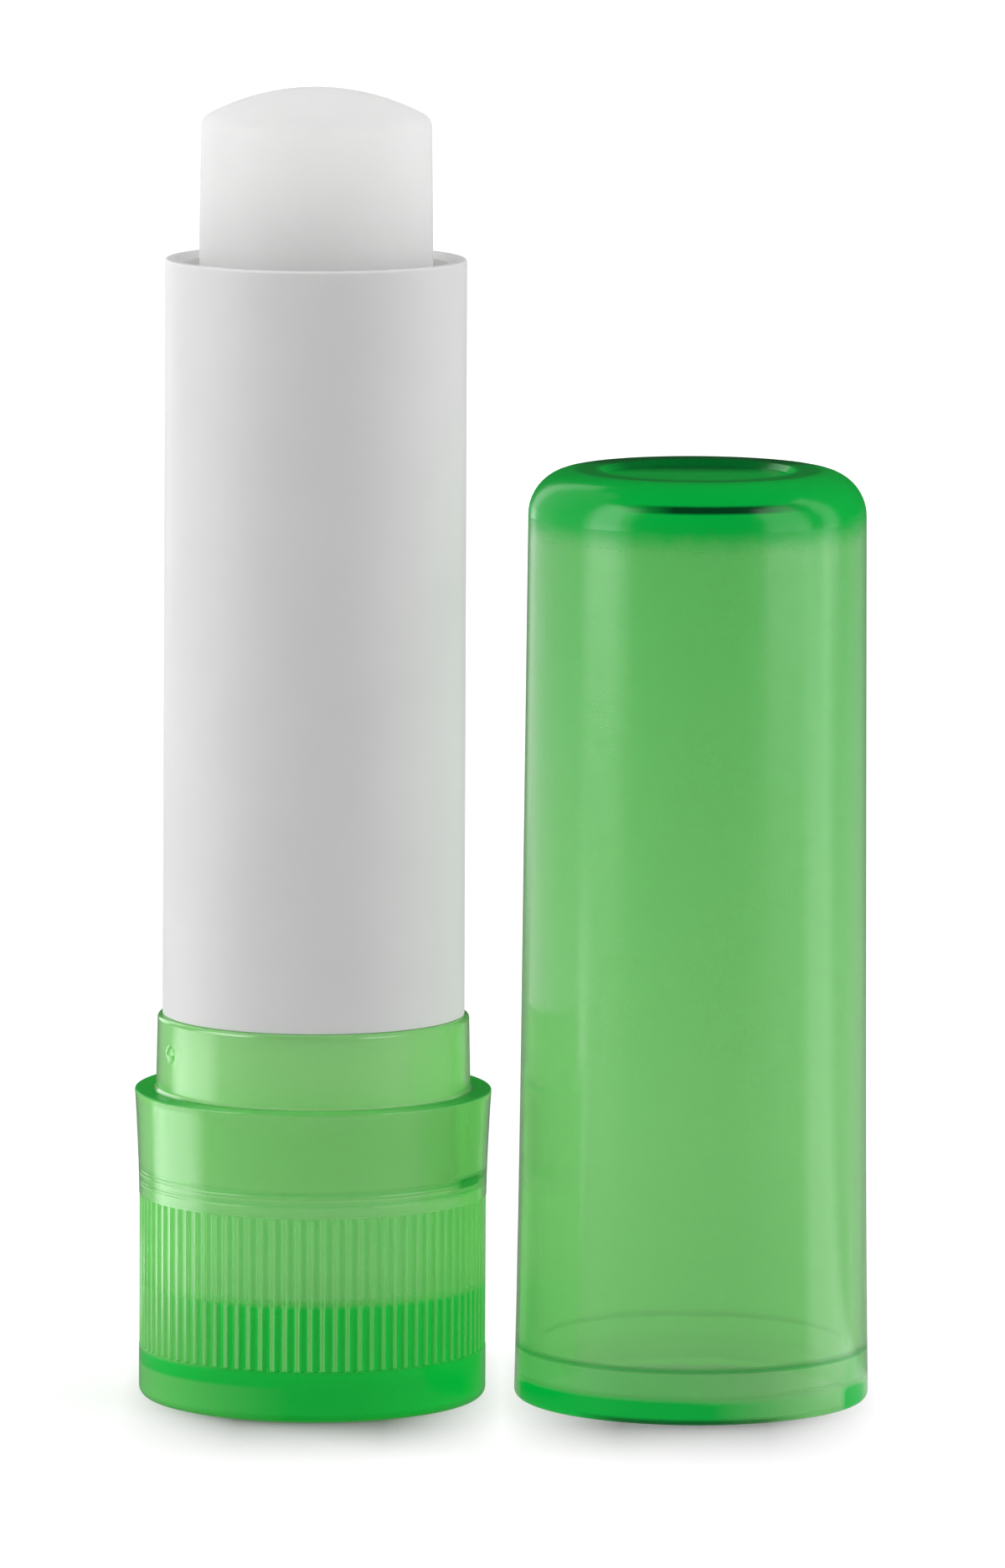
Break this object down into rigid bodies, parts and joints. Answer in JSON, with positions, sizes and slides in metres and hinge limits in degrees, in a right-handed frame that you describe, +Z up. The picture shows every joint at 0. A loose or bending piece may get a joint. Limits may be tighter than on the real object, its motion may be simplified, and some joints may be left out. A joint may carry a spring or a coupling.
{
  "type": "lip balm stick",
  "caption": "Twist-up lip balm stick: white barrel turning in a fluted translucent base, domed balm raised by a central screw, and a snap cap standing beside it.",
  "frame": {"origin": "centre of the underside of the stick's base, on the surface it stands on", "axes": "+Z up along the stick's axis, +X from the stick towards its cap, -Y towards the viewer of the picture"},
  "size_m": [0.0403, 0.0196, 0.0718],
  "materials": {
    "green_translucent": "translucent light green polypropylene, glossy",
    "green_translucent_cap": "translucent light green polypropylene, glossy",
    "white_plastic": "opaque white polypropylene, satin gloss",
    "balm_wax": "off-white wax balm, faintly waxy sheen"
  },
  "bodies": {
    "base": {"base_cup": "green_translucent", "neck_collar": "green_translucent", "lead_screw": "green_translucent"},
    "tube": {"barrel": "white_plastic"},
    "carrier": {"elevator_cup": "white_plastic", "balm": "balm_wax"},
    "cover": {"cap": "green_translucent_cap"}
  },
  "joints": [
    {"name": "barrel_turn", "type": "hinge", "parent": "base", "child": "tube", "pos_m": [0, 0, 0.0211], "axis": [0, 0, 1], "range_deg": [-529.7, 1578.8]},
    {"name": "balm_rise", "type": "slide", "parent": "tube", "child": "carrier", "axis": [0, 0, 1], "range_m": [-0.0103, 0.0307]},
    {"name": "cap_lift", "type": "slide", "parent": "base", "child": "cover", "axis": [0, 0, 1], "range_m": [0, 0.046]}
  ],
  "couplings": [
    {"joint": "balm_rise", "follows": "barrel_turn", "m_per_rad": 0.0011141}
  ]
}
